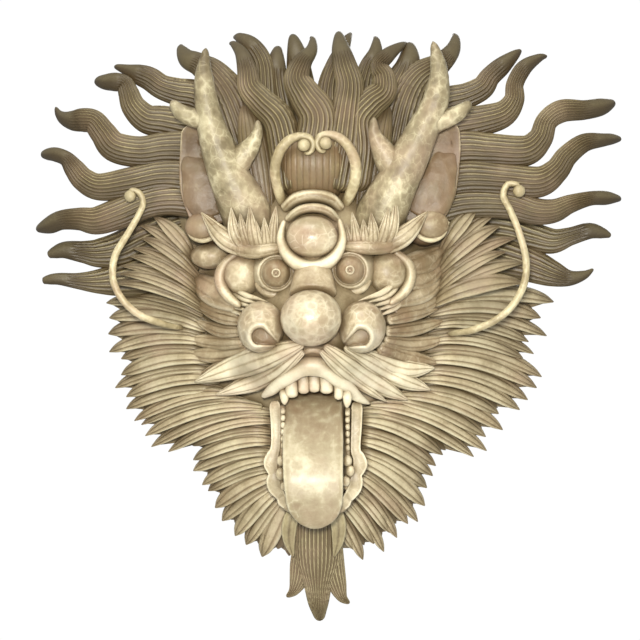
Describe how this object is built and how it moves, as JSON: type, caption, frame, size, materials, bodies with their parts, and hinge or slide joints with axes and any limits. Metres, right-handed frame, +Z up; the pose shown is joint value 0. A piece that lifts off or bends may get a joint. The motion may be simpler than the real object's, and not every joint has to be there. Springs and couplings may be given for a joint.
{
  "type": "dragon head wall plaque",
  "caption": "Carved wooden dragon-head relief with a flat back for hanging on a wall: wavy mane, leaf ruff, antlers, whiskers, open mouth with tongue.",
  "frame": {"origin": "the hanging point on the flat back, behind the forehead, in the wall plane", "axes": "+Y out of the flat back into the wall, so the dragon faces -Y; +Z up; +X to the viewer's right"},
  "size_m": [0.9126, 0.2734, 0.931],
  "materials": {
    "relief_wood": "carved wood with a rubbed cream lime wash over olive brown, darker in the grooves and at the mane's tips",
    "antler_wood": "gouge-dimpled wood with a pale cream wash, satin",
    "tendril_wood": "round-worked wood with a pale cream wash, satin"
  },
  "bodies": {
    "root": {"dragon_head": "relief_wood", "antler_left": "antler_wood", "antler_right": "antler_wood", "whisker_left": "tendril_wood", "whisker_right": "tendril_wood", "forehead_curl_left": "tendril_wood", "forehead_curl_right": "tendril_wood"}
  },
  "joints": []
}
